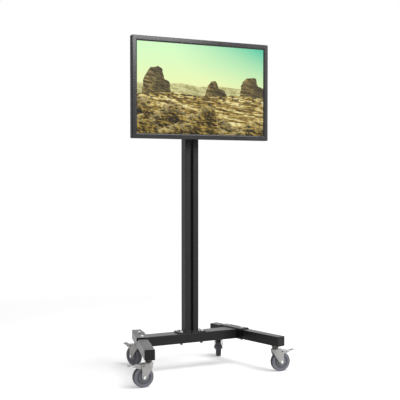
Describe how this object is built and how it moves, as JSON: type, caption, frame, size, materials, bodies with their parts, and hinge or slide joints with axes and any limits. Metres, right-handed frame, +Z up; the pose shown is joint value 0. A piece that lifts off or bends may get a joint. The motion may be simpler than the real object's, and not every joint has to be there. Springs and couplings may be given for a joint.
{
  "type": "mobile tv stand",
  "caption": "Wheeled floor stand: a slotted two-tube column on splayed legs with braked swivel casters carries a clamped carriage and a tilting flat display.",
  "frame": {"origin": "on the floor, under the middle of the whole stand's bounding box", "axes": "+Z up along the column, -Y out of the screen, +X to the right as seen from in front of the screen"},
  "size_m": [0.9054, 0.5643, 1.6761],
  "materials": {
    "black_paint": "black powder coat, fine texture, satin",
    "black_plastic": "matte black moulded plastic",
    "bright_zinc": "bright zinc-plated pressed steel",
    "black_steel": "black plated steel",
    "grey_rubber": "mid grey thermoplastic rubber, matte",
    "grey_hub": "grey moulded nylon",
    "casing": "dark grey textured plastic, satin",
    "screen": "lit display panel behind a smooth cover"
  },
  "bodies": {
    "base": {"crossbeam": "black_paint", "leg_left": "black_paint", "leg_cap_front_left": "black_plastic", "leg_cap_rear_left": "black_plastic", "saddle_left": "black_paint", "joint_bolt_front_left": "bright_zinc", "joint_bolt_rear_left": "bright_zinc", "leg_right": "black_paint", "leg_cap_front_right": "black_plastic", "leg_cap_rear_right": "black_plastic", "saddle_right": "black_paint", "joint_bolt_front_right": "bright_zinc", "joint_bolt_rear_right": "bright_zinc", "foot_plate": "black_paint", "foot_bolt_front_left": "bright_zinc", "foot_bolt_rear_left": "bright_zinc", "foot_bolt_front_right": "bright_zinc", "foot_bolt_rear_right": "bright_zinc", "column_tube_left": "black_paint", "column_tube_right": "black_paint", "column_cap": "black_plastic", "caster_head_front_left": "black_steel", "caster_head_front_right": "black_steel", "caster_head_rear_left": "black_steel", "caster_head_rear_right": "black_steel"},
    "caster_front_left": {"caster_fork_front_left": "bright_zinc", "caster_axle_front_left": "bright_zinc"},
    "wheel_front_left": {"caster_tyre_front_left": "grey_rubber", "caster_hub_front_left": "grey_hub"},
    "pedal_front_left": {"brake_pedal_front_left": "bright_zinc"},
    "caster_front_right": {"caster_fork_front_right": "bright_zinc", "caster_axle_front_right": "bright_zinc"},
    "wheel_front_right": {"caster_tyre_front_right": "grey_rubber", "caster_hub_front_right": "grey_hub"},
    "pedal_front_right": {"brake_pedal_front_right": "bright_zinc"},
    "caster_rear_left": {"caster_fork_rear_left": "bright_zinc", "caster_axle_rear_left": "bright_zinc"},
    "wheel_rear_left": {"caster_tyre_rear_left": "grey_rubber", "caster_hub_rear_left": "grey_hub"},
    "pedal_rear_left": {"brake_pedal_rear_left": "bright_zinc"},
    "caster_rear_right": {"caster_fork_rear_right": "bright_zinc", "caster_axle_rear_right": "bright_zinc"},
    "wheel_rear_right": {"caster_tyre_rear_right": "grey_rubber", "caster_hub_rear_right": "grey_hub"},
    "pedal_rear_right": {"brake_pedal_rear_right": "bright_zinc"},
    "carriage": {"carriage_plate": "black_paint", "slot_guide": "black_plastic", "clamp_plate": "black_paint", "clevis_bracket": "black_paint", "pivot_pin": "bright_zinc"},
    "clamp_knob_upper": {"clamp_knob_upper": "black_plastic"},
    "clamp_knob_lower": {"clamp_knob_lower": "black_plastic"},
    "display": {"tilt_bracket": "black_paint", "rail_left": "black_paint", "rail_right": "black_paint", "display_bezel": "casing", "display_panel": "screen", "display_back": "casing", "power_inlet": "black_plastic"},
    "tilt_knob": {"tilt_knob": "black_plastic"}
  },
  "joints": [
    {"name": "screen_height", "type": "slide", "parent": "base", "child": "carriage", "axis": [0, 0, 1], "range_m": [-0.5, 0.1]},
    {"name": "screen_tilt", "type": "hinge", "parent": "carriage", "child": "display", "pos_m": [-0.00046, -0.01375, 1.42757], "axis": [1, 0, 0], "range_deg": [-5, 15]},
    {"name": "clamp_turn_upper", "type": "hinge", "parent": "carriage", "child": "clamp_knob_upper", "pos_m": [-0.00046, 0.08945, 1.50257], "axis": [0, 1, 0], "range_deg": [0, 360]},
    {"name": "clamp_turn_lower", "type": "hinge", "parent": "carriage", "child": "clamp_knob_lower", "pos_m": [-0.00046, 0.08945, 1.35257], "axis": [0, 1, 0], "range_deg": [0, 360]},
    {"name": "tilt_lock_turn", "type": "hinge", "parent": "display", "child": "tilt_knob", "pos_m": [0.06234, -0.01375, 1.39757], "axis": [1, 0, 0], "range_deg": [0, 360]},
    {"name": "swivel_front_left", "type": "hinge", "parent": "base", "child": "caster_front_left", "pos_m": [-0.34905, -0.23755, 0.10957], "axis": [0, 0, 1], "continuous": true},
    {"name": "roll_front_left", "type": "hinge", "parent": "caster_front_left", "child": "wheel_front_left", "pos_m": [-0.377, -0.23589, 0.04957], "axis": [-0.0593, -0.9982, 0], "continuous": true},
    {"name": "brake_front_left", "type": "hinge", "parent": "caster_front_left", "child": "pedal_front_left", "pos_m": [-0.37999, -0.23572, 0.10447], "axis": [-0.0593, -0.9982, 0], "range_deg": [0, 12]},
    {"name": "swivel_front_right", "type": "hinge", "parent": "base", "child": "caster_front_right", "pos_m": [0.34813, -0.23755, 0.10957], "axis": [0, 0, 1], "continuous": true},
    {"name": "roll_front_right", "type": "hinge", "parent": "caster_front_right", "child": "wheel_front_right", "pos_m": [0.37586, -0.24145, 0.04957], "axis": [0.1392, 0.9903, 0], "continuous": true},
    {"name": "brake_front_right", "type": "hinge", "parent": "caster_front_right", "child": "pedal_front_right", "pos_m": [0.37883, -0.24187, 0.10447], "axis": [0.1392, 0.9903, 0], "range_deg": [0, 12]},
    {"name": "swivel_rear_left", "type": "hinge", "parent": "base", "child": "caster_rear_left", "pos_m": [-0.23968, 0.17934, 0.10957], "axis": [0, 0, 1], "continuous": true},
    {"name": "roll_rear_left", "type": "hinge", "parent": "caster_rear_left", "child": "wheel_rear_left", "pos_m": [-0.24925, 0.20565, 0.04957], "axis": [-0.9397, -0.342, 0], "continuous": true},
    {"name": "brake_rear_left", "type": "hinge", "parent": "caster_rear_left", "child": "pedal_rear_left", "pos_m": [-0.25028, 0.20847, 0.10447], "axis": [-0.9397, -0.342, 0], "range_deg": [0, 12]},
    {"name": "swivel_rear_right", "type": "hinge", "parent": "base", "child": "caster_rear_right", "pos_m": [0.23876, 0.17934, 0.10957], "axis": [0, 0, 1], "continuous": true},
    {"name": "roll_rear_right", "type": "hinge", "parent": "caster_rear_right", "child": "wheel_rear_right", "pos_m": [0.25024, 0.20488, 0.04957], "axis": [-0.9121, 0.4099, 0], "continuous": true},
    {"name": "brake_rear_right", "type": "hinge", "parent": "caster_rear_right", "child": "pedal_rear_right", "pos_m": [0.25147, 0.20761, 0.10447], "axis": [-0.9121, 0.4099, 0], "range_deg": [0, 12]}
  ]
}
